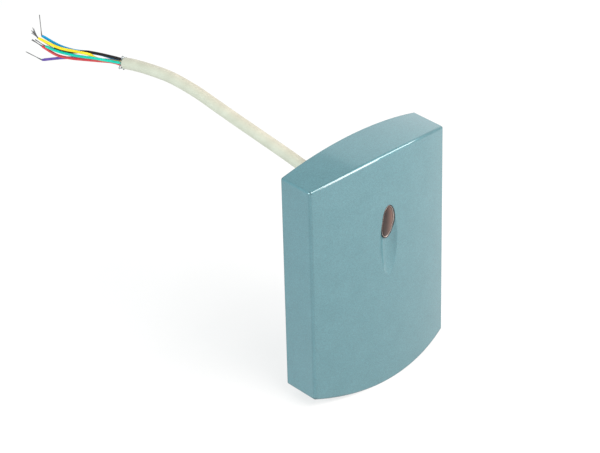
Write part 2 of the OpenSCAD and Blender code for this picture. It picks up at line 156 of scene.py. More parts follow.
def tube_loops(line, radii, sides):
    """Rings round a line, one for each point."""
    frames = ring_frames(line)
    return [ring(p, r, u, v, sides) for p, r, (_, u, v) in zip(line, radii, frames)]


def applied(obj):
    """Puts the result of an object's modifiers into its mesh, and removes them."""
    graph = bpy.context.evaluated_depsgraph_get()
    mesh = bpy.data.meshes.new_from_object(obj.evaluated_get(graph))
    obj.modifiers.clear()
    obj.data = mesh


def merged(name, parts):
    """One object from several."""
    work = bmesh.new()
    for part in parts:
        work.from_mesh(part.data)
        bpy.data.objects.remove(part)
    mesh = bpy.data.meshes.new(name)
    work.to_mesh(mesh)
    work.free()
    obj = bpy.data.objects.new(name, mesh)
    bpy.context.scene.collection.objects.link(obj)
    smooth(obj)
    return obj


# ------------------------------------------------------------------- materials

# Most of the colour noise lies between these values
NOISE_RANGE = (0.3, 0.7)
FLAKE_SIZE = 0.22
FLAKE_SHADE = (0.82, 1.18)
# Painted shade: the paint is darkened where the surface is this convex, over this range of
# distance from the middle of the cover, to stand in for the shade along its creases
CREASE_SHADE_POINTINESS = (0.508, 0.54)
CREASE_SHADE_X = (12, 26)
CREASE_SHADE_COLOUR = (0.012, 0.035, 0.042, 1)
# Painted highlight: the lens is painted lighter and warmer between these places across it
LENS_HIGHLIGHT_X = (-1.5, 3.6)
LENS_HIGHLIGHT_COLOUR = (0.105, 0.06, 0.047, 1)


def map_range(nodes, side, limits):
    """A Map Range node with its From or its To limits set."""
    node = nodes.new("ShaderNodeMapRange")
    node.inputs[side + " Min"].default_value = limits[0]
    node.inputs[side + " Max"].default_value = limits[1]
    return node


def finish(name, low, high, grain, rough, bump, bump_grain=None, **settings):
    """A procedural finish: colour and roughness drift with noise, and fine relief from bump.

    low and high are linear colours, grain is the drift's size and bump_grain the relief's,
    in millimetres; rough is the roughness range; bump is the relief's height in millimetres.
    """
    material = bpy.data.materials.new(name)
    material.use_nodes = True
    nodes = material.node_tree.nodes
    links = material.node_tree.links
    shader = nodes["Principled BSDF"]
    place = nodes.new("ShaderNodeTexCoord")
    drift = nodes.new("ShaderNodeTexNoise")
    drift.inputs["Scale"].default_value = 1 / (grain * MM)
    drift.inputs["Detail"].default_value = 4
    links.new(place.outputs["Object"], drift.inputs["Vector"])
    colour = nodes.new("ShaderNodeMix")
    colour.data_type = "RGBA"
    colour.inputs[6].default_value = (*low, 1)
    colour.inputs[7].default_value = (*high, 1)
    spread = map_range(nodes, "From", NOISE_RANGE)
    links.new(drift.outputs["Fac"], spread.inputs["Value"])
    links.new(spread.outputs["Result"], colour.inputs["Factor"])
    links.new(colour.outputs[2], shader.inputs["Base Color"])
    gloss = map_range(nodes, "To", rough)
    links.new(drift.outputs["Fac"], gloss.inputs["Value"])
    links.new(gloss.outputs["Result"], shader.inputs["Roughness"])
    relief = nodes.new("ShaderNodeTexNoise")
    relief.inputs["Scale"].default_value = 1 / ((bump_grain or grain / 4) * MM)
    relief.inputs["Detail"].default_value = 2
    links.new(place.outputs["Object"], relief.inputs["Vector"])
    shape = nodes.new("ShaderNodeBump")
    shape.inputs["Distance"].default_value = bump * MM
    links.new(relief.outputs["Fac"], shape.inputs["Height"])
    links.new(shape.outputs["Normal"], shader.inputs["Normal"])
    for socket, value in settings.items():
        shader.inputs[socket.replace("_", " ").title()].default_value = value
    return material


def flake_paint(name):
    """Satin metallic paint: fine flakes of slightly different shade under a clear coat.

    It carries painted shade: it is darker along convex edges near the cover's two sides.
    """
    material = finish(name, (0.055, 0.149, 0.173), (0.061, 0.159, 0.184), 9, (0.36, 0.44),
                      0.004, 0.35, metallic=0.3, coat_weight=0.65, coat_roughness=0.12)
    nodes = material.node_tree.nodes
    links = material.node_tree.links
    place = next(n for n in nodes if n.type == "TEX_COORD")
    flakes = nodes.new("ShaderNodeTexVoronoi")
    flakes.inputs["Scale"].default_value = 1 / (FLAKE_SIZE * MM)
    links.new(place.outputs["Object"], flakes.inputs["Vector"])
    shade = nodes.new("ShaderNodeSeparateColor")
    links.new(flakes.outputs["Color"], shade.inputs["Color"])
    level = map_range(nodes, "To", FLAKE_SHADE)
    links.new(shade.outputs["Red"], level.inputs["Value"])
    tint = nodes.new("ShaderNodeVectorMath")
    tint.operation = "SCALE"
    colour = next(n for n in nodes if n.type == "MIX")
    shader = nodes["Principled BSDF"]
    shader.inputs["Coat IOR"].default_value = 2.0
    shader.inputs["Specular IOR Level"].default_value = 0.1
    # Painted shade: the base colour is mixed towards a dark teal along convex edges away from the
    # cover's middle
    surface = nodes.new("ShaderNodeNewGeometry")
    convex = map_range(nodes, "From", CREASE_SHADE_POINTINESS)
    links.new(surface.outputs["Pointiness"], convex.inputs["Value"])
    split = nodes.new("ShaderNodeSeparateXYZ")
    links.new(place.outputs["Object"], split.inputs["Vector"])
    away = nodes.new("ShaderNodeMath")
    away.operation = "ABSOLUTE"
    links.new(split.outputs["X"], away.inputs[0])
    outer = map_range(nodes, "From", [x * MM for x in CREASE_SHADE_X])
    links.new(away.outputs["Value"], outer.inputs["Value"])
    amount = nodes.new("ShaderNodeMath")
    amount.operation = "MULTIPLY"
    links.new(convex.outputs["Result"], amount.inputs[0])
    links.new(outer.outputs["Result"], amount.inputs[1])
    edge = nodes.new("ShaderNodeMix")
    edge.data_type = "RGBA"
    edge.inputs[7].default_value = CREASE_SHADE_COLOUR
    links.new(amount.outputs["Value"], edge.inputs["Factor"])
    links.new(colour.outputs[2], edge.inputs[6])
    links.new(edge.outputs[2], tint.inputs[0])
    links.new(level.outputs["Result"], tint.inputs["Scale"])
    links.new(tint.outputs["Vector"], shader.inputs["Base Color"])
    return material


def smoked_lens(name):
    """Smoked plastic, with a painted highlight: warmer and lighter towards the right."""
    material = finish(name, (0.022, 0.016, 0.015), (0.034, 0.023, 0.02), 3, (0.05, 0.1), 0.001)
    nodes = material.node_tree.nodes
    links = material.node_tree.links
    place = next(n for n in nodes if n.type == "TEX_COORD")
    # Painted highlight: the colour is mixed towards a lighter, warmer brown towards the lens's
    # right side
    split = nodes.new("ShaderNodeSeparateXYZ")
    links.new(place.outputs["Object"], split.inputs["Vector"])
    share = map_range(nodes, "From", [x * MM for x in LENS_HIGHLIGHT_X])
    share.interpolation_type = "SMOOTHSTEP"
    links.new(split.outputs["X"], share.inputs["Value"])
    highlight_mix = nodes.new("ShaderNodeMix")
    highlight_mix.data_type = "RGBA"
    highlight_mix.inputs[7].default_value = LENS_HIGHLIGHT_COLOUR
    colour = next(n for n in nodes if n.type == "MIX" and n != highlight_mix)
    links.new(share.outputs["Result"], highlight_mix.inputs["Factor"])
    links.new(colour.outputs[2], highlight_mix.inputs[6])
    links.new(highlight_mix.outputs[2], nodes["Principled BSDF"].inputs["Base Color"])
    return material


MATERIALS = {
    "front_cover": flake_paint("satin_teal_paint_crease_shade"),
    "indicator_lens": smoked_lens("smoked_lens"),
    # Painted highlight: a pale collar inside the seal round the lens, standing in for the lit
    # strip on the window's right side
    "lens_highlight_collar": finish("collar_painted_highlight", (0.36, 0.32, 0.3), (0.46, 0.41, 0.38), 1,
                          (0.3, 0.45), 0.004, 0.15),
    # Partly painted shade: the seal's near-black also stands in for the shade in the gap round
    # the lens
    "lens_gasket": finish("seal_rubber_and_gap_shade", (0.008, 0.007, 0.007), (0.014, 0.012, 0.012), 1,
                          (0.7, 0.9), 0.004, 0.15),
    "base_plate": finish("moulded_black_base", (0.022, 0.023, 0.025), (0.035, 0.036, 0.038), 5,
                         (0.5, 0.68), 0.02, 0.4),
    "light_pipe": finish("clear_light_pipe", (0.8, 0.83, 0.85), (0.9, 0.92, 0.93), 3,
                         (0.12, 0.25), 0.004, transmission_weight=0.7),
    "main_pcb": finish("green_solder_mask", (0.012, 0.075, 0.03), (0.02, 0.12, 0.05), 2.5,
                       (0.22, 0.4), 0.015, 0.8, coat_weight=0.3),
    "antenna_coil": finish("enamelled_copper", (0.3, 0.085, 0.025), (0.5, 0.17, 0.05), 1.5,
                           (0.2, 0.38), 0.005, metallic=0.85),
    "coil_leads": finish("tinned_copper_lead", (0.45, 0.2, 0.1), (0.6, 0.32, 0.18), 0.6,
                         (0.25, 0.4), 0.004, metallic=0.9),
    "chips": finish("moulded_epoxy", (0.014, 0.014, 0.016), (0.026, 0.026, 0.028), 1.2,
                    (0.55, 0.75), 0.012, 0.12),
    "can": finish("drawn_steel_can", (0.5, 0.5, 0.51), (0.66, 0.66, 0.66), 2, (0.24, 0.4),
                  0.006, 0.3, metallic=1.0),
    "capacitor_can": finish("aluminium_can", (0.5, 0.51, 0.53), (0.64, 0.65, 0.66), 2,
                            (0.3, 0.45), 0.008, 0.3, metallic=0.95),
    "ferrite": finish("sintered_ferrite", (0.03, 0.03, 0.033), (0.06, 0.058, 0.058), 0.8,
                      (0.6, 0.85), 0.02, 0.15),
    "ceramic": finish("fired_ceramic", (0.42, 0.28, 0.15), (0.52, 0.37, 0.22), 0.8,
                      (0.35, 0.5), 0.008, 0.1),
    "film": finish("dipped_film_capacitor", (0.42, 0.06, 0.025), (0.55, 0.1, 0.04), 1.5,
                   (0.22, 0.36), 0.02, 0.8, coat_weight=0.5),
    "led": finish("led_body", (0.75, 0.72, 0.5), (0.85, 0.83, 0.66), 0.8, (0.2, 0.35), 0.004),
    "nylon": finish("natural_nylon", (0.68, 0.66, 0.56), (0.78, 0.76, 0.68), 2.5, (0.4, 0.55),
                    0.01, 0.3, subsurface_weight=0.05),
    "black_nylon": finish("black_nylon", (0.016, 0.016, 0.017), (0.03, 0.03, 0.031), 2,
                          (0.4, 0.6), 0.012, 0.3),
    "spring": finish("spring_steel", (0.38, 0.38, 0.39), (0.55, 0.55, 0.56), 1, (0.2, 0.36),
                     0.004, metallic=1.0),
    "screw": finish("zinc_plated_screw", (0.42, 0.43, 0.45), (0.6, 0.6, 0.58), 1.2,
                    (0.26, 0.44), 0.008, 0.2, metallic=1.0),
    "brass": finish("brass_insert", (0.5, 0.31, 0.09), (0.66, 0.45, 0.16), 1, (0.28, 0.45),
                    0.01, 0.2, metallic=1.0),
    "rubber": finish("grommet_rubber", (0.014, 0.014, 0.014), (0.028, 0.028, 0.028), 2.5,
                     (0.6, 0.8), 0.02, 0.35),
    "cable_jacket": finish("beige_cable_jacket", (0.345, 0.33, 0.265), (0.395, 0.38, 0.31), 7,
                           (0.38, 0.5), 0.012, 0.9),
    "tinned": finish("tinned_strands", (0.12, 0.12, 0.125), (0.21, 0.21, 0.21), 0.5, (0.25, 0.42),
                     0.003, metallic=1.0),
    "braid": finish("tinned_braid", (0.2, 0.22, 0.22), (0.36, 0.38, 0.38), 0.5, (0.22, 0.4),
                    0.003, metallic=1.0),
    "wire_black": finish("black_insulation", (0.005, 0.003, 0.004), (0.012, 0.008, 0.009), 3,
                         (0.28, 0.42), 0.006, 0.5),
    "wire_yellow": finish("yellow_insulation", (0.52, 0.385, 0.004), (0.6, 0.45, 0.01), 3,
                          (0.28, 0.42), 0.006, 0.5),
    "wire_blue": finish("blue_insulation", (0.0, 0.185, 0.36), (0.002, 0.23, 0.43), 3,
                        (0.28, 0.42), 0.006, 0.5),
    "wire_green": finish("green_insulation", (0.0, 0.31, 0.22), (0.0, 0.38, 0.29), 3,
                         (0.28, 0.42), 0.006, 0.5),
    "wire_red": finish("red_insulation", (0.4, 0.026, 0.03), (0.47, 0.04, 0.045), 3,
                       (0.28, 0.42), 0.006, 0.5),
    "wire_violet": finish("violet_insulation", (0.075, 0.035, 0.2), (0.11, 0.055, 0.28), 3,
                          (0.28, 0.42), 0.006, 0.5),
}
# Finishes that reflect less than plastic usually does
SPECULAR_LEVELS = {
    "indicator_lens": 0.22,
    "wire_black": 0.12,
    "wire_yellow": 0.2,
    "wire_blue": 0.15,
    "wire_green": 0.15,
    "wire_red": 0.2,
    "wire_violet": 0.15,
}
for key, level in SPECULAR_LEVELS.items():
    shader = MATERIALS[key].node_tree.nodes["Principled BSDF"]
    shader.inputs["Specular IOR Level"].default_value = level


# ---------------------------------------------------------------------- camera

camera_data = bpy.data.cameras.new("camera")
camera_data.lens = 150
camera_data.sensor_width = 36
camera_data.clip_start = 0.01
camera_data.clip_end = 100
camera = bpy.data.objects.new("camera", camera_data)
camera.location = (-0.64047, -0.67909, 0.59721)
camera.rotation_euler = Euler([math.radians(a) for a in (57.908, 1.332, -42.802)])
bpy.context.scene.collection.objects.link(camera)
bpy.context.scene.camera = camera


# ----------------------------------------------------------------------- cable

# The cable's routes repeat those of the CAD model
CABLE_R = 2.75
WIRE_R = 0.67
STRAND_R = 0.15
# Points of the jacket's line that are left off, where its end is cut back from the shield
JACKET_TRIM = 2
# The rings that round the jacket's cut end and line it: how far in, and the radius
JACKET_END = ((-0.05, 2.66), (-0.07, 2.58), (-0.06, 2.42), (0.04, 2.34), (0.3, 2.32),
              (3.5, 2.32))
JACKET_SIDES = 32
BRAID_STRANDS = 36
BRAID_R = 0.11
FOIL_OUTER_R = 2.1
FOIL_INNER_R = 2.02
# How far along the cable from the cut end the foil's rings lie
FOIL_REACH = (-2.0, -0.5, 0.4, 0.9)
# Where the curled shield strands leave the jacket's end, and the size of each curl
CURLS = ((2.35, 1.1), (4.5, 0.8), (1.6, 0.6))
CURL_R = 0.16
CURL_STEPS = 14
TIP_STRANDS = 7
# How far the bare strands spread at their ends
WIDE_FANS = {"wire_yellow": 1.9, "wire_red": 0.3}
NARROW_FAN = 0.16
# Where the conductors start, along the cable from the jacket's cut end
WIRE_START = -3.0
EXIT = (-13, 0, 40.5)
JACKET_ROUTE = [
    (-13, -11.5, 40.5), (-13, -4, 40.5), (-13, 4, 40.5), (-13, 14, 41.25),
    (-12.5, 26, 42.5), (-12, 38, 43.5), (-11.5, 50, 44.5), (-11, 62, 45.5),
    (-10.5, 75, 46.75), (-9.75, 88, 47.75), (-9.5, 99, 48.25), (-9.5, 109, 48.25),
    (-9.75, 118, 47.5), (-10.25, 127, 46.5), (-10.75, 135, 45.25), (-11, 141.5, 43.75),
]
WIRE_ROUTES = {
    "wire_black": [
        (-10.75, 142, 45.25), (-12.25, 148, 45), (-13.75, 155.5, 44.25),
        (-15.5, 163, 43.25), (-17.5, 169, 41.5), (-19.25, 175, 40.25), (-21, 181, 40.25)],
    "wire_yellow": [
        (-11, 141.5, 44), (-12, 147.5, 42.75), (-14, 152.5, 42.25), (-15.25, 156.25, 42.25),
        (-16.5, 159.25, 43.5), (-18.25, 163, 43.75), (-19, 167, 43.25), (-21.5, 177, 42.5),
        (-24.5, 188, 44.5)],
    "wire_blue": [
        (-9.5, 141.75, 44.75), (-10.75, 149.75, 43.25), (-12, 157, 42.75), (-14.5, 165, 42),
        (-16.75, 172, 41.25), (-18.75, 180, 41.5), (-21.5, 189, 44.25)],
    "wire_green": [
        (-12.5, 141.5, 44.25), (-14.75, 148.5, 43.75), (-17.25, 155.75, 43.25),
        (-18.5, 164, 41.5), (-20.25, 172, 40.5), (-21.75, 178.5, 40.25), (-23.25, 184.5, 41)],
    "wire_red": [
        (-10.5, 141.25, 42.25), (-11.25, 149.25, 41.25), (-14, 156.5, 40.25),
        (-16.5, 164, 39), (-18.5, 172, 37.5), (-20.5, 180, 37), (-22.75, 188, 39.5)],
    "wire_violet": [
        (-9.5, 141.5, 43.25), (-9.75, 150.75, 41), (-12.25, 157.25, 40),
        (-14.25, 164, 38.75), (-16.25, 171, 37.25), (-18.5, 179, 35), (-21.5, 190.5, 30.75)],
}
# Where each conductor's bare strands end
TIP_ENDS = {
    "wire_black": (-22.25, 188, 42),
    "wire_yellow": (-25.5, 191.5, 48),
    "wire_blue": (-21.75, 189.5, 56),
    "wire_green": (-24.5, 191, 42.75),
    "wire_red": (-24.25, 194, 41.5),
    "wire_violet": (-24, 200, 32.5),
}


def thin_strand(route, per_span, radius):
    """One fine metal strand along a route."""
    line = smooth_line(route, per_span)
    return loops_mesh("strand", tube_loops(line, [radius] * len(line), 6), closed=False)


def cable_jacket():
    """The jacket's tube, hollow for the last few millimetres at its cut end."""
    line = smooth_line(JACKET_ROUTE, 6)[:-JACKET_TRIM]
    radii = [CABLE_R] * (len(line) - 1) + [CABLE_R - 0.03]
    loops = tube_loops(line, radii, JACKET_SIDES)
    ahead, u, v = ring_frames(line)[-1]
    for depth, radius in JACKET_END:
        loops.append(ring(line[-1] - depth * ahead, radius, u, v, JACKET_SIDES))
    jacket = loops_mesh("jacket", loops, closed=False)
    finished(jacket, "base", "cable_jacket", MATERIALS["cable_jacket"])
    return jacket, line


def conductor(name, start_inside):
    """One insulated conductor, from inside the jacket to where its insulation is cut."""
    route = [start_inside] + WIRE_ROUTES[name]
    line = smooth_line(route, 8)
    radii = np.full(len(line), WIRE_R)
    radii[-1] = WIRE_R - 0.12
    loops = tube_loops(line, radii, 16)
    wire = loops_mesh(name.replace("wire", "insulation"), loops, closed=False)
    finished(wire, "base", name, MATERIALS[name])
    return wire, line


def bare_strands(name, line, rng):
    """Seven tinned strands that leave the cut insulation and fan out a little."""
    start = line[-1]
    end = np.array(TIP_ENDS[name], float)
    run = end - start
    back = line[-1] - line[-4]
    back /= np.linalg.norm(back)
    parts = []
    _, u, v = ring_frames(line)[-1]
    fan = WIDE_FANS.get(name, NARROW_FAN)
    outer_strands = TIP_STRANDS - 1
    for k in range(TIP_STRANDS):
        angle = 2 * math.pi * k / outer_strands + rng.uniform(-0.2, 0.2)
        off = 0.0 if k == outer_strands else 0.23
        root = start - 0.6 * back + off * (math.cos(angle) * u + math.sin(angle) * v)
        lean = angle + 1.2
        amount = fan * rng.uniform(0.3, 1.0)
        spread = amount * (math.cos(lean) * u + math.sin(lean) * v)
        reach = rng.uniform(0.86, 1.0)
        halfway = start + 0.45 * reach * run + 0.35 * spread + 0.2 * back
        route = [root, root + 0.9 * back, halfway, start + reach * run + spread]
        parts.append(thin_strand(route, 5, STRAND_R))
    strands = merged(name.replace("wire", "strands"), parts)
    finished(strands, "base", "wire_tips", MATERIALS["tinned"])
    return strands


def shield_braid(line, rng):
    """Frayed shield strands round the jacket's cut end, three curls and the foil inside."""
    ahead, u, v = ring_frames(line)[-1]
    cut = line[-1]
    parts = []
    for k in range(BRAID_STRANDS):
        angle = 2 * math.pi * (k + rng.uniform(-0.3, 0.3)) / BRAID_STRANDS
        out = math.cos(angle) * u + math.sin(angle) * v
        across = math.cos(angle + math.pi / 2) * u + math.sin(angle + math.pi / 2) * v
        reach = rng.uniform(0.6, 2.0)
        route = [cut - 1.6 * ahead + 2.2 * out, cut + 2.2 * out + 0.1 * ahead,
                 cut + (2.35 + 0.3 * rng.random()) * out + 0.5 * reach * ahead
                 + rng.uniform(-0.4, 0.4) * across,
                 cut + (2.4 + 0.6 * rng.random()) * out + reach * ahead
                 + rng.uniform(-0.6, 0.6) * across]
        parts.append(thin_strand(route, 4, BRAID_R))
    foil = np.array([cut + reach * ahead for reach in FOIL_REACH])
    outside = tube_loops(foil, [FOIL_OUTER_R] * len(foil), 28)
    inside = tube_loops(foil, [FOIL_INNER_R] * len(foil), 28)
    parts.append(loops_mesh("foil", outside + inside[::-1], closed=True))
    for angle, size in CURLS:
        out = math.cos(angle) * u + math.sin(angle) * v
        middle = cut + 2.5 * out + 1.3 * ahead
        curl = []
        for k in range(CURL_STEPS + 1):
            turn = 2.2 * math.pi * k / CURL_STEPS
            curl.append(middle + size * (math.cos(turn) * ahead + math.sin(turn) * out)
                        - 0.12 * k / CURL_STEPS * ahead)
        parts.append(thin_strand(curl, 2, CURL_R))
    braid = merged("shield_braid", parts)
    finished(braid, "base", "cable_shield", MATERIALS["braid"])
    return braid


rng = random.Random(7)
jacket, jacket_line = cable_jacket()
braid = shield_braid(jacket_line, rng)
cut_point = jacket_line[-1]
inward = ring_frames(jacket_line)[-1][0] * WIRE_START
for wire_name, wire_route in WIRE_ROUTES.items():
    entry = np.array(wire_route[0], float)
    inside = cut_point + inward + 0.8 * (entry - cut_point)
    wire, wire_line = conductor(wire_name, inside)
    strands = bare_strands(wire_name, wire_line, rng)


# ----------------------------------------------------------------- front cover

BODY_W = 80
BODY_H = 118
END_RISE = 5.6
BODY_D = 24.4
FRONT_BOW = 6.4
WALL = 2.2
RIM_Y = -0.15
RELIEF_Z = 53.2
RELIEF_SLOPE = math.tan(math.radians(12.6))
SCOOP_L = 35.6
SCOOP_W = 10.4
SCOOP_D = 2.2
SCOOP_Z = 15.4
WINDOW_L = 17.4
WINDOW_W = 8
PAD_Y = -20.2
PAD_R = 7.2
PAD_HALF_L = 20
CREASE_R = 1.3
CORNER_R = 0.9
RIM_R = 0.25
# Distance from the rim's inner edge to the ring of points that keeps it crisp
RIM_BACK = 0.2
# Bevel where the inside of the front meets the inside of the walls
INNER_R = 0.4
# The lock screw's slot and the recess for its head: half width, and top
SLOT_HALF_W = 1.7
SLOT_TOP_Z = -55.8
RECESS_HALF_W = 3.2
RECESS_TOP_Z = -57.8
SLOT_LOW_Z = -60
LOCK_Y = -7
HINGE_X = 17
HINGE_Y = -5.5
HINGE_Z = 53
HOOK_R = 2.3
HOOK_BORE_R = 1.25
HOOK_HALF_W = 2.5

END_R = ((BODY_W / 2) ** 2 + END_RISE ** 2) / (2 * END_RISE)
END_CZ = BODY_H / 2 - END_R
FRONT_R = ((BODY_W / 2) ** 2 + FRONT_BOW ** 2) / (2 * FRONT_BOW)
FRONT_CY = FRONT_R - BODY_D
SCOOP_R = ((SCOOP_W / 2) ** 2 + SCOOP_D ** 2) / (2 * SCOOP_D)
SCOOP_ARC_R = ((SCOOP_L / 2) ** 2 + SCOOP_D ** 2) / (2 * SCOOP_D)
SCOOP_AXIS_Y = -BODY_D - (SCOOP_R - SCOOP_D)
WINDOW_Z = SCOOP_Z + SCOOP_L / 2 - WINDOW_L / 2
# All rings of the cover are drawn on rays that spread from X = 0 at this height
HUB_Z = 20.0
# The rays end beyond the outline, and a crossing is found by this many halvings
RAY_REACH = 110.0
HALVINGS = 50


def face_y(x, inset=0.0):
    """Depth of the bowed front, or of a surface that far inside it."""
    return FRONT_CY - np.sqrt((FRONT_R - inset) ** 2 - x ** 2)


def rim_y(z):
    """Depth of the cover's rim, which slopes back above the hinge."""
    return RIM_Y - RELIEF_SLOPE * np.maximum(z - RELIEF_Z, 0)


def outline(x, z, corner=CORNER_R):
    """Distance outside the reader's outline; negative inside."""
    across = np.abs(x) - (BODY_W / 2 - corner)
    along = np.hypot(x, np.abs(z) - END_CZ) - (END_R - corner)
    inner = np.minimum(np.maximum(across, along), 0)
    return inner + np.hypot(np.maximum(across, 0), np.maximum(along, 0)) - corner


def scoop_y(x, z):
    """Depth of the finger scoop's surface."""
    offset = np.minimum(np.abs(z - SCOOP_Z), SCOOP_ARC_R)
    radius = SCOOP_R - SCOOP_ARC_R + np.sqrt(SCOOP_ARC_R ** 2 - offset ** 2)
    radius = np.maximum(radius, 0)
    return SCOOP_AXIS_Y + np.sqrt(np.maximum(radius ** 2 - x ** 2, 0))


def beyond_scoop(x, z):
    """Positive outside the scoop's edge."""
    return face_y(x) - scoop_y(x, z)


def beyond_window(x, z):
    """Positive outside the window."""
    return (2 * x / WINDOW_W) ** 2 + (2 * (z - WINDOW_Z) / WINDOW_L) ** 2 - 1


def beyond_pad(x, z):
    """Distance outside the flat pad behind the window; negative inside."""
    straight = np.maximum(np.abs(z - SCOOP_Z) - (PAD_HALF_L - PAD_R), 0)
    return np.hypot(x, straight) - PAD_R


class Rays:
    """Rays in the XZ plane from the hub, and the points on them."""

    def __init__(self, angles):
        self.cos = np.cos(angles)
        self.sin = np.sin(angles)

    def xz(self, reach):
        return reach * self.cos, HUB_Z + reach * self.sin

    def crossing(self, beyond):
        """How far along each ray the function beyond(x, z) turns positive."""
        low = np.zeros(len(self.cos))
        high = np.full(len(self.cos), RAY_REACH)
        for _ in range(HALVINGS):
            middle = (low + high) / 2
            out = beyond(*self.xz(middle)) > 0
            high = np.where(out, middle, high)
            low = np.where(out, low, middle)
        return (low + high) / 2


def cover_angles():
    """Ray angles, closer together at the outline's corners and the scoop's ends."""
    angles = set(np.arange(0, 360, 2.0))
    for side in (-1, 1):
        for end in (-1, 1):
            corner_z = end * (BODY_H / 2 - END_RISE)
            corner = math.degrees(math.atan2(corner_z - HUB_Z, side * BODY_W / 2))
            angles.update(corner % 360 + np.arange(-1.3, 1.31, 0.13))
    angles.update(270 + np.arange(-9, 9.1, 0.5))
    angles.update(90 + np.arange(-27, 27.1, 1.0))
    # Rays are set evenly about the angle where the window's edge meets the scoop's
    rough = np.radians(np.arange(20, 89, 0.01))
    probe = Rays(rough)
    gap = probe.crossing(beyond_scoop) - probe.crossing(beyond_window)
    meet = math.degrees(rough[int(np.argmax(gap < 0))])
    near = {a for a in angles if min(abs(a - meet), abs(a - 180 + meet)) < 0.2}
    for step in (-2, -1, 0, 1, 2):
        angles.update({meet + step * 0.5, 180 - meet + step * 0.5})
    angles -= near
    kept = []
    for a in sorted(angles):
        if not kept or a - kept[-1] > 0.02:
            kept.append(a)
    return np.radians(kept)


def bend(start, middle, stop, steps):
    """Rings along a rounded edge between two rings, the sharp edge lying at middle."""
    rings = []
    for s in np.arange(steps + 1) / steps:
        rings.append((1 - s) ** 2 * start + 2 * s * (1 - s) * middle + s ** 2 * stop)
    return rings


def stacked(x, y, z):
    """Points from arrays of coordinates; y may be one number."""
    return np.stack([x, y + 0 * x, z], axis=1)


def cover_shell():
    """The painted shell: bowed front with scoop and window opening, walls and inner faces."""
    rays = Rays(cover_angles())
    to_scoop = rays.crossing(beyond_scoop)
    to_window = rays.crossing(beyond_window)
    gap = to_scoop - to_window
    in_scoop = gap > 0
    edge_soft = np.minimum(0.3, 0.35 * np.maximum(gap, 0))
    lip_soft = np.minimum(0.12, 0.3 * np.abs(gap))
    opening = np.maximum(to_scoop, to_window)

    def surface(reach):
        x, z = rays.xz(reach)
        return stacked(x, np.where(in_scoop & (reach < to_scoop), scoop_y(x, z), face_y(x)), z)

    def level(reach, y):
        x, z = rays.xz(reach)
        return stacked(x, y, z)

    lip = surface(to_window + 1e-6)
    wall_top = lip + [0, 1, 0] * lip_soft[:, None]
    rings = [level(to_window, PAD_Y), 0.5 * (level(to_window, PAD_Y) + wall_top)]
    rings += bend(wall_top, lip, surface(to_window + lip_soft), 3)
    for s in np.arange(1, 10) / 10:
        reach = to_window + lip_soft + s * (gap - lip_soft - edge_soft)
        rings.append(surface(np.where(in_scoop, reach, to_window + lip_soft)))
    x, z = rays.xz(opening)
    edge = stacked(x, face_y(x), z)
    inner = surface(np.where(in_scoop, to_scoop - edge_soft, to_window + lip_soft))
    face_start = np.where(in_scoop, to_scoop + edge_soft, to_window + lip_soft)
    x, z = rays.xz(face_start)
    outer = stacked(x, face_y(x), z)
    rounded = bend(inner, edge, outer, 5)
    rings += [np.where(in_scoop[:, None], ring, outer) for ring in rounded]

    face_stop = rays.crossing(lambda x, z: outline(x, z) + CREASE_R)
    for s in [0.012, 0.03] + list(np.arange(1, 24) / 24) + [0.985, 0.994]:
        x, z = rays.xz(face_start + s * (face_stop - face_start))
        rings.append(stacked(x, face_y(x), z))
    for turn in np.radians(np.arange(90, -1, -11.25)):
        inset = CREASE_R * (1 - math.cos(turn))
        x, z = rays.xz(rays.crossing(lambda x, z: outline(x, z) + inset))
        rings.append(stacked(x, face_y(x) + CREASE_R * (1 - math.sin(turn)), z))
    x, z = rays.xz(rays.crossing(outline))
    top = face_y(x) + CREASE_R
    rim = rim_y(z)
    for s in (0.02, 0.06, 0.2, 0.4, 0.6, 0.8, 0.95, 0.99):
        rings.append(stacked(x, top + s * (rim - RIM_R - top), z))
    for turn in np.radians((0, 30, 60, 90)):
        inset = RIM_R * (1 - math.cos(turn))
        x, z = rays.xz(rays.crossing(lambda x, z: outline(x, z) + inset))
        rings.append(stacked(x, rim - RIM_R * (1 - math.sin(turn)), z))

    inner_wall = rays.crossing(lambda x, z: outline(x, z) + WALL)
    pad_edge = rays.crossing(beyond_pad)
    x, z = rays.xz(inner_wall)
    rings += [stacked(x, rim_y(z), z), stacked(x, rim_y(z) - RIM_BACK, z)]
    x_in, z_in = rays.xz(inner_wall - INNER_R)
    rings.append(stacked(x, face_y(x_in, WALL) + INNER_R, z))
    rings.append(stacked(x_in, face_y(x_in, WALL), z_in))
    for s in np.arange(1, 9) / 8:
        x, z = rays.xz(inner_wall - INNER_R + s * (pad_edge - inner_wall + INNER_R))
        rings.append(stacked(x, face_y(x, WALL), z))
    rings.append(level(pad_edge, PAD_Y - 0.2))
    rings.append(level(pad_edge - 0.2, PAD_Y))
    rings.append(level(0.5 * (pad_edge + to_window), PAD_Y))
    return loops_mesh("cover_shell", rings, closed=True)


def slot_cutter(half_width, low_z, high_z):
    """A slot with a round end, open towards the wall."""
    rim = []
    for k in range(25):
        a = math.pi * k / 24
        rim.append((half_width * math.cos(a), LOCK_Y - half_width * math.sin(a)))
    rim += [(-half_width, 2), (half_width, 2)]
    loops = [[(x, y, z) for x, y in rim] for z in (low_z, high_z)]
    return loops_mesh("slot_cutter", loops, closed=False)


def cut(obj, cutters):
    """Takes the cutters away from a mesh."""
    for cutter in cutters:
        change = obj.modifiers.new("cut", "BOOLEAN")
        change.operation = "DIFFERENCE"
        change.solver = "EXACT"
        change.object = cutter
    applied(obj)
    for cutter in cutters:
        bpy.data.objects.remove(cutter)
    smooth(obj)
    return obj


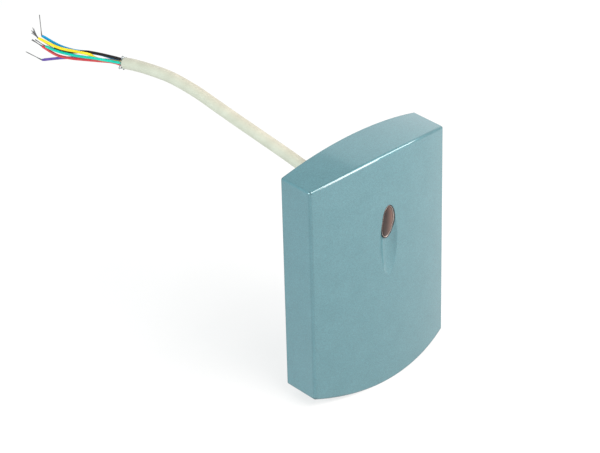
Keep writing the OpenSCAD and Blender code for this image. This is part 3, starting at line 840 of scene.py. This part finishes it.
def hinge_hook(x):
    """Snap hook that hangs on one of the base's bars: a ring open below, on a short web."""
    profile = []
    for k in range(29):
        a = math.radians(-62 + 304 * k / 28)
        y = HINGE_Y + HOOK_R * math.cos(a)
        z = HINGE_Z + HOOK_R * math.sin(a)
        if 0 < k < 28 and z > HINGE_Z + 0.3:
            y = HINGE_Y + math.copysign(HOOK_R, math.cos(a))
            z = HINGE_Z + (0.3 if abs(math.cos(a)) > 0.9 else 3.7)
        profile.append((y, z))
    for k in range(29):
        a = math.radians(242 - 304 * k / 28)
        profile.append((HINGE_Y + HOOK_BORE_R * math.cos(a), HINGE_Z + HOOK_BORE_R * math.sin(a)))
    loops = []
    for offset in (-HOOK_HALF_W, HOOK_HALF_W):
        loops.append([(x + offset, y, z) for y, z in profile])
    return loops_mesh("hook", loops, closed=False)


shell = cut(cover_shell(), [slot_cutter(SLOT_HALF_W, SLOT_LOW_Z, SLOT_TOP_Z),
                            slot_cutter(RECESS_HALF_W, SLOT_LOW_Z, RECESS_TOP_Z)])
cover = merged("painted_cover", [shell, hinge_hook(-HINGE_X), hinge_hook(HINGE_X)])
finished(cover, "cover", "front_cover", MATERIALS["front_cover"])


# ------------------------------------------------------------------------ lens

LENS_TILT = math.radians(-6.6)
LENS_CROSS_R = 16
LENS_ARC_R = 60
LENS_APEX_Y = -23.85
LENS_EDGE = 0.55
# The lens is this much smaller than the window, to leave room for the seal round it
GASKET_ROOM = 1.35


def lens_y(x, z):
    """Depth of the lens's crowned face."""
    z = z - WINDOW_Z
    y = np.full(np.shape(x), -LENS_CROSS_R)
    for _ in range(30):
        along = z * math.cos(LENS_TILT) + y * math.sin(LENS_TILT)
        radius = LENS_CROSS_R - LENS_ARC_R + np.sqrt(LENS_ARC_R ** 2 - along ** 2)
        turned = -np.sqrt(radius ** 2 - x ** 2)
        y = (turned + z * math.sin(LENS_TILT)) / math.cos(LENS_TILT)
    return LENS_APEX_Y + LENS_CROSS_R + y


def oval(width, length, y, share=1.0, count=96):
    """An oval round the window's middle, at depth y or on the lens's face where y is None."""
    turn = 2 * math.pi * np.arange(count) / count
    x = share * width / 2 * np.cos(turn)
    z = WINDOW_Z + share * length / 2 * np.sin(turn)
    return stacked(x, lens_y(x, z) if y is None else y, z)


def indicator_lens():
    """Crowned oval lens with a rounded edge, and a flange behind the cover."""
    wide, long = WINDOW_W - GASKET_ROOM, WINDOW_L - GASKET_ROOM
    shares = (0.02, 0.1, 0.2, 0.3, 0.4, 0.5, 0.6, 0.68, 0.75)
    rings = [oval(wide, long, None, share) for share in shares]
    edge = oval(wide - 2 * LENS_EDGE, long - 2 * LENS_EDGE, None)
    side = oval(wide, long, None) + [0, 0.12, 0]
    rings += bend(edge, side, side + [0, LENS_EDGE, 0], 6)
    rings += [oval(wide, long, PAD_Y - 1.0), oval(wide, long, PAD_Y)]
    wide, long = WINDOW_W + 3.3, WINDOW_L + 3.3
    rings += [oval(wide - 0.3, long - 0.3, PAD_Y), oval(wide, long, PAD_Y + 0.15)]
    rings += [oval(wide, long, PAD_Y + 1.05), oval(wide - 0.3, long - 0.3, PAD_Y + 1.2)]
    rings += [oval(wide, long, PAD_Y + 1.2, share) for share in (0.6, 0.3, 0.05)]
    return loops_mesh("smoked_lens", rings, closed=False)


def lens_ring(name, outer, inner, sink, low):
    """A thin ring in the window's edge, its top just below the cover's surface.

    outer and inner are how much narrower than the window its edges are, sink lowers its
    top, and low is the depth of its underside.
    """
    rings = []
    edge = oval(WINDOW_W - 0.1, WINDOW_L - 0.1, None)
    level = np.maximum(face_y(edge[:, 0]), scoop_y(edge[:, 0], edge[:, 2])) + 0.06
    level = np.minimum(level, edge[:, 1] - 0.3) + sink
    step = (inner - outer) / 6
    for k, drop in enumerate((0.1, 0.02, 0.0, 0.0, 0.02, 0.1)):
        inset = outer + (k + 0.5 if 0 < k < 5 else k * 1.2) * step
        rings.append(oval(WINDOW_W - inset, WINDOW_L - inset, level + drop))
    rings.append(oval(WINDOW_W - inner, WINDOW_L - inner, low))
    rings.append(oval(WINDOW_W - outer, WINDOW_L - outer, low))
    return loops_mesh(name, rings, closed=True)


finished(indicator_lens(), "cover", "indicator_lens", MATERIALS["indicator_lens"])
# Partly painted shade: this black seal ring also draws the dark outline that the gap's shade
# gives round the lens
gasket = lens_ring("lens_gasket", 0.1, 1.0, 0.0, PAD_Y - 1.2)
finished(gasket, "cover", "indicator_lens", MATERIALS["lens_gasket"])
# Painted highlight: this pale ring shows as a light strip along the window's right side
collar = lens_ring("lens_highlight_collar", 1.02, 1.27, 0.08, PAD_Y - 1.0)
finished(collar, "cover", "indicator_lens", MATERIALS["lens_highlight_collar"])


# ---------------------------------------------------------- base and inner parts

def flattened_normals(obj):
    """Turns the normals along rounded edges to the large faces, so that flat faces look flat."""
    change = obj.modifiers.new("normals", "WEIGHTED_NORMAL")
    change.weight = 100
    change.keep_sharp = True
    applied(obj)


def refined(node, body, material, width):
    """A copy of a CAD part with its sharp edges rounded off, which stands for that part."""
    work = bmesh.new()
    work.from_mesh(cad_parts[node].data)
    bmesh.ops.remove_doubles(work, verts=work.verts, dist=1e-6)
    bmesh.ops.dissolve_limit(work, angle_limit=math.radians(0.5), verts=work.verts,
                             edges=work.edges)
    edges = [e for e in work.edges if e.is_manifold and e.calc_face_angle() > math.radians(30)]
    bmesh.ops.bevel(work, geom=edges, offset=width * MM, segments=2, profile=0.5,
                    affect="EDGES", clamp_overlap=True)
    mesh = bpy.data.meshes.new(node + "_mesh")
    work.to_mesh(mesh)
    work.free()
    piece = bpy.data.objects.new(node + "_piece", mesh)
    bpy.context.scene.collection.objects.link(piece)
    smooth(piece)
    flattened_normals(piece)
    return finished(piece, body, node, MATERIALS[material])


REFINED = [
    ("base_plate", "base", "base_plate", 0.3),
    ("light_pipe", "base", "light_pipe", 0.25),
    ("main_pcb", "base", "main_pcb", 0.08),
    ("coil_leads", "base", "coil_leads", 0.05),
    ("microcontroller", "base", "chips", 0.06),
    ("reader_chip", "base", "chips", 0.08),
    ("line_driver", "base", "chips", 0.06),
    ("voltage_regulator", "base", "chips", 0.08),
    ("crystal", "base", "can", 0.3),
    ("electrolytic_capacitors", "base", "capacitor_can", 0.25),
    ("power_inductor", "base", "ferrite", 0.2),
    ("protection_diodes", "base", "chips", 0.12),
    ("chip_capacitors", "base", "ceramic", 0.08),
    ("chip_resistors", "base", "chips", 0.06),
    ("tuning_capacitor", "base", "film", 0.5),
    ("buzzer", "base", "black_nylon", 0.3),
    ("status_leds", "base", "led", 0.1),
    ("wire_header", "base", "nylon", 0.15),
    ("wire_plug", "base", "nylon", 0.12),
    ("tamper_switch", "base", "black_nylon", 0.12),
    ("tamper_plunger", "tamper", "nylon", 0.2),
    ("pcb_screws", "base", "screw", 0.12),
    ("threaded_insert", "base", "brass", 0.1),
    ("cover_screw", "lock_screw", "screw", 0.12),
    ("screw_retaining_ring", "screw_ring", "nylon", 0.12),
    ("cable_grommet", "base", "rubber", 0.2),
    ("cable_tie", "base", "nylon", 0.15),
]
for node_name, body_name, material_name, edge_width in REFINED:
    refined(node_name, body_name, material_name, edge_width)


COIL_LAYERS = 4
COIL_ROWS = 5
COIL_PITCH = 0.6
COIL_WIRE_R = 0.29
COIL_HALF_W = 25
COIL_HALF_H = 33
COIL_CORNER_R = 5.7
COIL_Z = -3
COIL_BACK_Y = -10.4


def antenna_coil():
    """The read coil as its turns of enamelled wire, in layers of several rows each."""
    parts = []
    for layer in range(COIL_LAYERS):
        depth = COIL_BACK_Y - COIL_PITCH * layer
        for row in range(COIL_ROWS):
            inset = 0.3 + COIL_PITCH * row
            corner = COIL_CORNER_R - COIL_PITCH * row
            half_w, half_h = COIL_HALF_W - inset, COIL_HALF_H - inset
            line = []
            for sx, sz, first in ((1, 1, 0), (-1, 1, 90), (-1, -1, 180), (1, -1, 270)):
                for k in range(7):
                    a = math.radians(first + 15 * k)
                    line.append((sx * (half_w - corner) + corner * math.cos(a), depth,
                                 COIL_Z + sz * (half_h - corner) + corner * math.sin(a)))
            points = np.array(line)
            ahead = np.roll(points, -1, axis=0) - np.roll(points, 1, axis=0)
            ahead /= np.linalg.norm(ahead, axis=1)[:, None]
            back = np.array((0, 1, 0))
            out = np.cross(ahead, back)
            rings = []
            for k in range(8):
                a = math.pi * k / 4
                rings.append(points + COIL_WIRE_R * (math.cos(a) * out + math.sin(a) * back))
            parts.append(loops_mesh("turn", rings, closed=True))
    return merged("coil_turns", parts)


finished(antenna_coil(), "base", "antenna_coil", MATERIALS["antenna_coil"])


TAMPER_X = -14
TAMPER_Z = 2
SPRING_R = 2.58
SPRING_WIRE_R = 0.2
SPRING_TURNS = 3.5
SPRING_START_Y = -8.26
SPRING_L = 4.72
SPRING_STEPS = 140


def tamper_spring():
    """Compression spring between the board and the plunger's flange."""
    line = []
    for k in range(SPRING_STEPS + 1):
        a = 2 * math.pi * SPRING_TURNS * k / SPRING_STEPS
        line.append((TAMPER_X + SPRING_R * math.cos(a),
                     SPRING_START_Y + SPRING_L * k / SPRING_STEPS,
                     TAMPER_Z + SPRING_R * math.sin(a)))
    loops = tube_loops(np.array(line), [SPRING_WIRE_R] * len(line), 10)
    return loops_mesh("coil_spring", loops, closed=False)


spring = finished(tamper_spring(), "base", "tamper_spring", MATERIALS["spring"])
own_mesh(spring)


# The conductors' order along the plug, and the angle at which each enters the cable
INNER_SLOTS = {
    "wire_black": 210,
    "wire_red": 150,
    "wire_green": 270,
    "wire_yellow": 90,
    "wire_violet": 330,
    "wire_blue": 30,
}
INNER_WIRE_R = 0.62
SLOT_CIRCLE_R = 1.35
PLUG_FIRST_X = -15.6
PLUG_PITCH = 2
for index, (colour_name, slot_angle) in enumerate(INNER_SLOTS.items()):
    plug_x = PLUG_FIRST_X + PLUG_PITCH * index
    upper = math.sin(math.radians(slot_angle)) > 0
    end_x = EXIT[0] + SLOT_CIRCLE_R * math.cos(math.radians(slot_angle))
    end_z = EXIT[2] + SLOT_CIRCLE_R * math.sin(math.radians(slot_angle))
    inner_route = [
        (plug_x, -13.4, 25.8),
        (0.45 * plug_x + 0.55 * end_x, -15.4 if upper else -13.9, 31.5),
        (end_x + 0.1 * (plug_x - end_x), -17 if upper else -14.6, end_z - 1.3),
        (end_x, -11.5, end_z)]
    inner_line = smooth_line(inner_route, 8)
    inner_tube = tube_loops(inner_line, [INNER_WIRE_R] * len(inner_line), 12)
    inner = loops_mesh("inner_" + colour_name, inner_tube, closed=False)
    finished(inner, "base", "inner_wires", MATERIALS[colour_name])


# --------------------------------------------------------------- floor and light

# The floor's side in metres, and how many squares it is divided into along it
FLOOR_SIZE = 6.0
FLOOR_STEPS = 24


def floor():
    """A light table under the reader, which stands on its lower arch.

    It is grey acrylic that glows, so that shadows on it stay faint.
    """
    level = cad_box[0].z
    places = [FLOOR_SIZE * (i / FLOOR_STEPS - 0.5) for i in range(FLOOR_STEPS + 1)]
    points = [(x, y, level) for x in places for y in places]
    row = FLOOR_STEPS + 1
    faces = []
    for i in range(FLOOR_STEPS):
        for j in range(FLOOR_STEPS):
            a = i * row + j
            faces.append((a, a + row, a + row + 1, a + 1))
    mesh = bpy.data.meshes.new("floor")
    mesh.from_pydata(points, [], faces)
    obj = bpy.data.objects.new("floor", mesh)
    bpy.context.scene.collection.objects.link(obj)
    acrylic = finish("pale_floor", (0.18, 0.18, 0.18), (0.2, 0.2, 0.2), 120, (0.8, 0.95), 0.02,
                     2.0, emission_color=(1, 1, 1, 1), emission_strength=0.7)
    shader = acrylic.node_tree.nodes["Principled BSDF"]
    shader.inputs["Specular IOR Level"].default_value = 0.0
    obj.data.materials.append(acrylic)


def soft_light(name, direction, distance, size, power, colour, roll=0):
    """An area light that looks at the reader's middle, turned about its own axis by roll.

    The camera doesn't see the light itself.
    """
    light = bpy.data.lights.new(name, "AREA")
    light.shape = "RECTANGLE"
    light.size, light.size_y = size
    light.energy = power
    light.color = colour
    lamp = bpy.data.objects.new(name, light)
    place = Vector(direction).normalized() * distance
    lamp.location = place
    turn = (-place).to_track_quat("-Z", "Y") @ Quaternion((0, 0, 1), math.radians(roll))
    lamp.rotation_euler = turn.to_euler()
    lamp.visible_camera = False
    bpy.context.scene.collection.objects.link(lamp)


floor()
soft_light("key", (0.31, -0.6, 0.71), 0.85, (1.3, 0.36), 12, (1.0, 0.955, 0.915), roll=-25)
soft_light("front_fill", (0.2, -1.0, 0.5), 0.5, (0.3, 0.3), 2.5, (1.0, 0.84, 0.8))
soft_light("side_fill", (-1.0, 0.12, 0.3), 1.3, (0.9, 0.8), 20, (0.78, 0.98, 1.0))
soft_light("top_sheen", (0.7, 0.7, 0.35), 1.2, (1.5, 1.0), 3.0, (0.95, 1.0, 1.0))
world = bpy.data.worlds.new("studio")
world.use_nodes = True
background = world.node_tree.nodes["Background"]
background.inputs["Color"].default_value = (1, 1, 1, 1)
background.inputs["Strength"].default_value = 0.74
bpy.context.scene.world = world
bpy.context.scene.view_settings.view_transform = "Standard"
